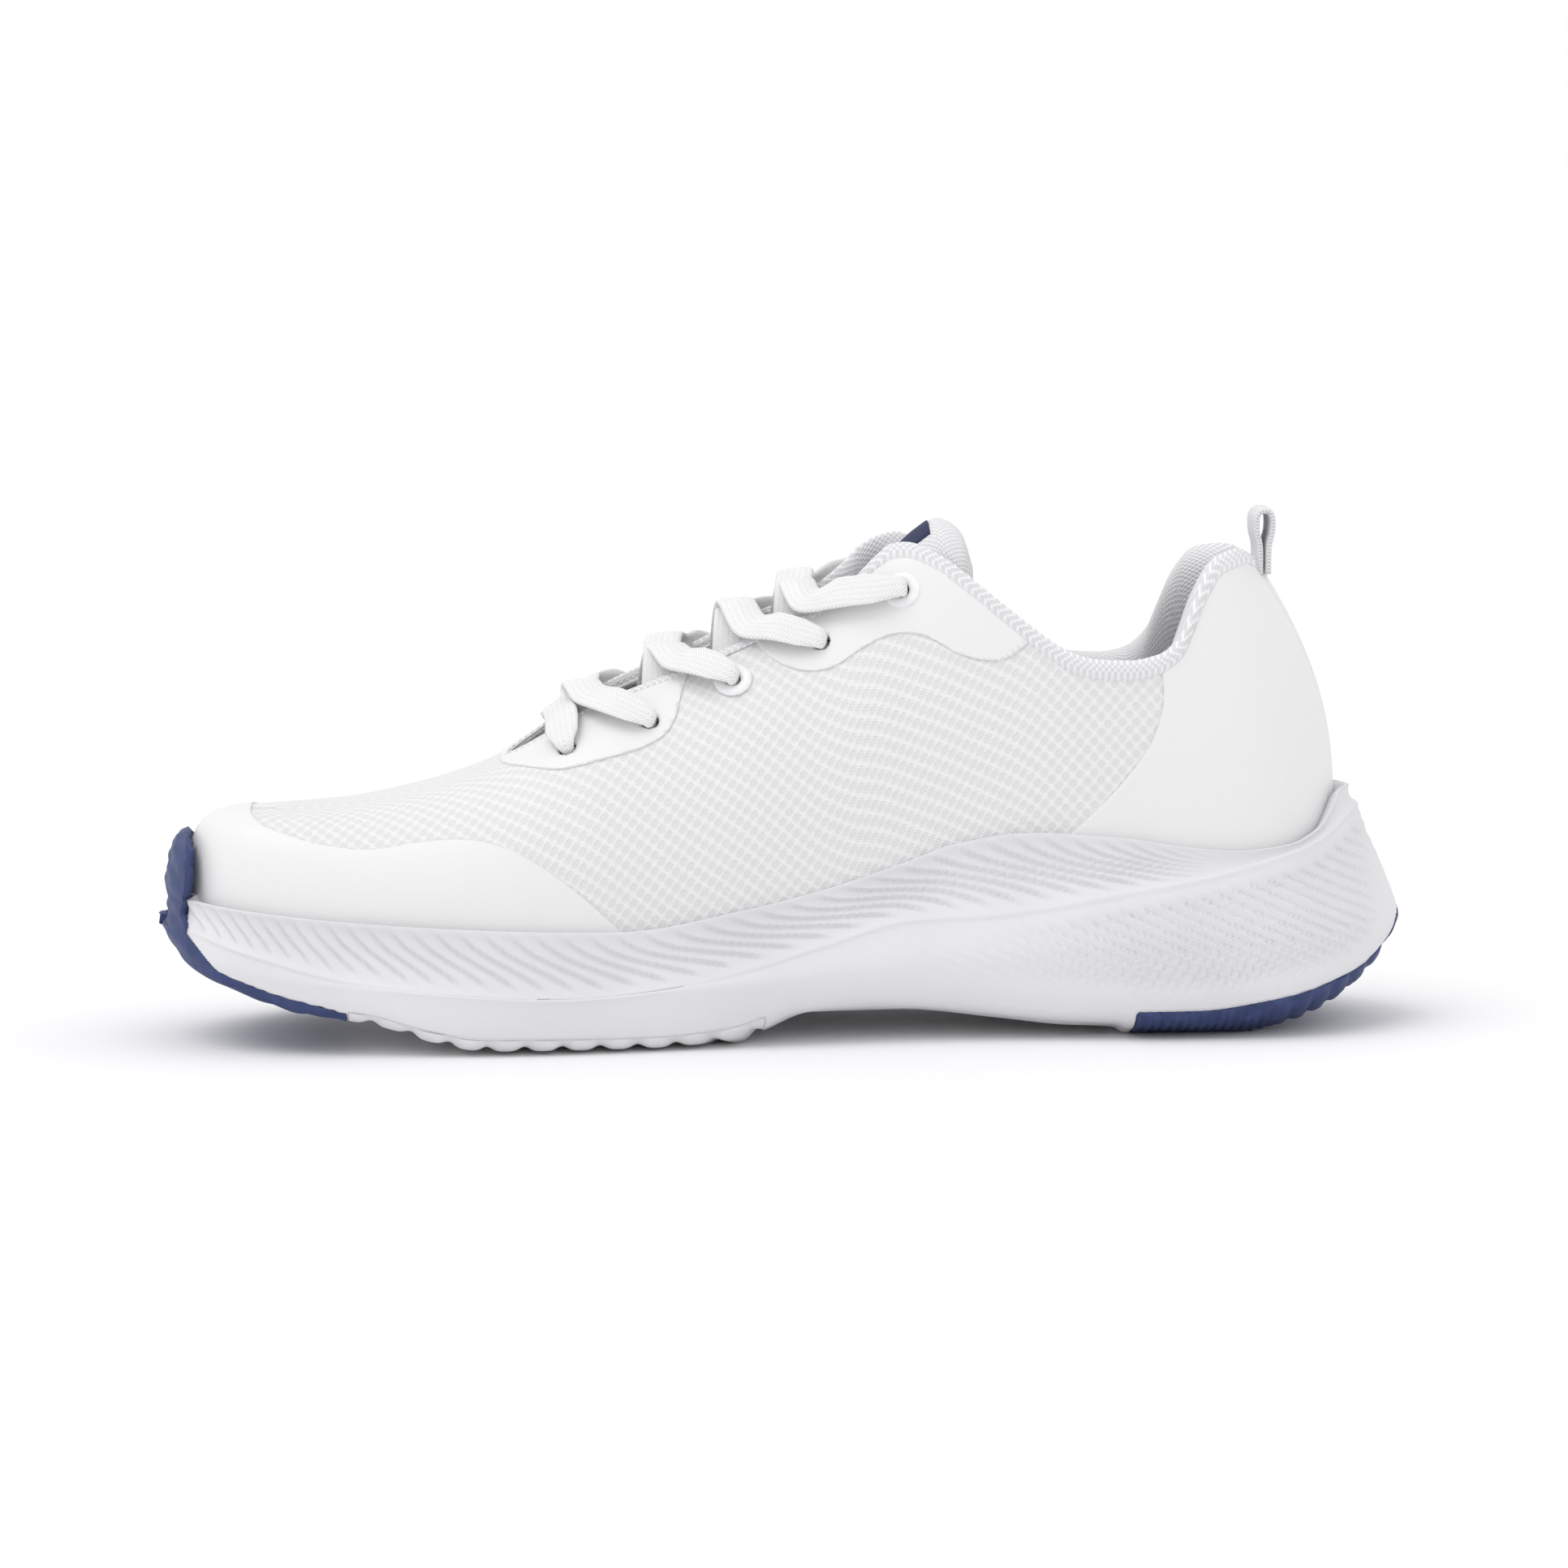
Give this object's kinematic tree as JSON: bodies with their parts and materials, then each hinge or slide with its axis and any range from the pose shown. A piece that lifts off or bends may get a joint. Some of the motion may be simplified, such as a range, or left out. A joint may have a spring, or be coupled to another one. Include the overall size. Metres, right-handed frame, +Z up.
{
  "type": "running shoe",
  "caption": "Low right-foot running shoe with a knitted mesh upper, welded overlays, flat lace, padded collar, rolled tongue, heel pull loop and a grooved foam midsole on rubber pads.",
  "frame": {"origin": "centre of the shoe's outline, on the ground plane under it", "axes": "+X from toe to heel, -Y the medial side, +Z up from the ground"},
  "size_m": [0.3, 0.1032, 0.1255],
  "materials": {
    "midsole_foam": "matte",
    "navy_rubber": "matte",
    "white_rubber": "matte",
    "knit_mesh": "matte",
    "film_overlay": "satin",
    "lining_fabric": "matte",
    "padding_foam": "matte",
    "board": "matte",
    "stiffener": "matte",
    "eyelet_plastic": "satin",
    "lace_weave": "matte",
    "webbing": "matte",
    "aglet_plastic": "gloss",
    "label_patch": "matte"
  },
  "bodies": {
    "shoe": {"midsole": "midsole_foam", "outsole_toe_rubber": "navy_rubber", "outsole_forefoot": "white_rubber", "outsole_heel_rubber": "navy_rubber", "strobel_board": "board", "upper_mesh": "knit_mesh", "toe_overlay": "film_overlay", "front_eyestay": "film_overlay", "heel_tape": "film_overlay", "toe_puff": "stiffener", "heel_counter": "stiffener", "vamp_lining": "lining_fabric", "collar_lining": "lining_fabric", "collar_foam": "padding_foam", "eyestay_medial": "film_overlay", "heel_panel_medial": "film_overlay", "throat_tape_medial": "stiffener", "eyelet_ring_medial_3": "eyelet_plastic", "eyelet_washer_medial_3": "eyelet_plastic", "eyelet_ring_medial_5": "eyelet_plastic", "eyelet_washer_medial_5": "eyelet_plastic", "aglet_medial": "aglet_plastic", "eyestay_lateral": "film_overlay", "heel_panel_lateral": "film_overlay", "throat_tape_lateral": "stiffener", "eyelet_ring_lateral_3": "eyelet_plastic", "eyelet_washer_lateral_3": "eyelet_plastic", "eyelet_ring_lateral_5": "eyelet_plastic", "eyelet_washer_lateral_5": "eyelet_plastic", "aglet_lateral": "aglet_plastic", "lace": "lace_weave"},
    "tongue": {"tongue_shell": "knit_mesh", "tongue_foam": "padding_foam", "tongue_lining": "lining_fabric", "tongue_label": "label_patch"},
    "sockliner": {"sockliner": "lining_fabric"},
    "pull_loop": {"pull_loop": "webbing"}
  },
  "joints": [
    {"name": "tongue_fold", "type": "hinge", "parent": "shoe", "child": "tongue", "pos_m": [-0.073, -0.009, 0.05], "axis": [0, 1, 0], "range_deg": [0, 9], "stiffness_Nm_per_rad": 0.6, "springref_deg": -11.46},
    {"name": "sockliner_lift", "type": "hinge", "parent": "shoe", "child": "sockliner", "pos_m": [-0.139, -0.009, 0.033], "axis": [0, -1, 0], "range_deg": [0, 4]},
    {"name": "pull_loop_bend", "type": "hinge", "parent": "shoe", "child": "pull_loop", "pos_m": [0.116, 0, 0.1162], "axis": [0, 1, 0], "range_deg": [-35, 60], "stiffness_Nm_per_rad": 0.01}
  ]
}
